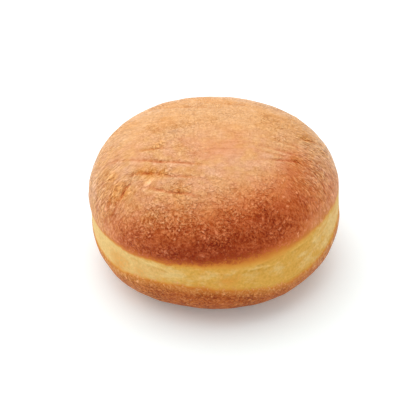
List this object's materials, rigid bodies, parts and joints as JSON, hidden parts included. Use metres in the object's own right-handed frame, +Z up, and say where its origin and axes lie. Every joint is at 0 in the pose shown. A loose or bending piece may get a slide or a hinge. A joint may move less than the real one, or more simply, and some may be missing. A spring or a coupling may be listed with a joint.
{
  "type": "jelly filled doughnut",
  "caption": "Round filled doughnut of fried yeast dough: a browned upper and lower crust with a pale ring between them, resting on a flat foot.",
  "frame": {"origin": "middle of the doughnut's plan, on the surface that it rests on", "axes": "+Z up, out of the middle of the upper crust; -Y towards the front, where the pale ring is narrowest; +X to the right seen from the front"},
  "size_m": [0.0907, 0.0921, 0.051],
  "materials": {
    "crust": "fried yeast dough: golden to red-brown crust, finely pebbled and faintly oily, with a matt pale yellow ring round the middle"
  },
  "bodies": {
    "root": {"doughnut": "crust"}
  },
  "joints": []
}
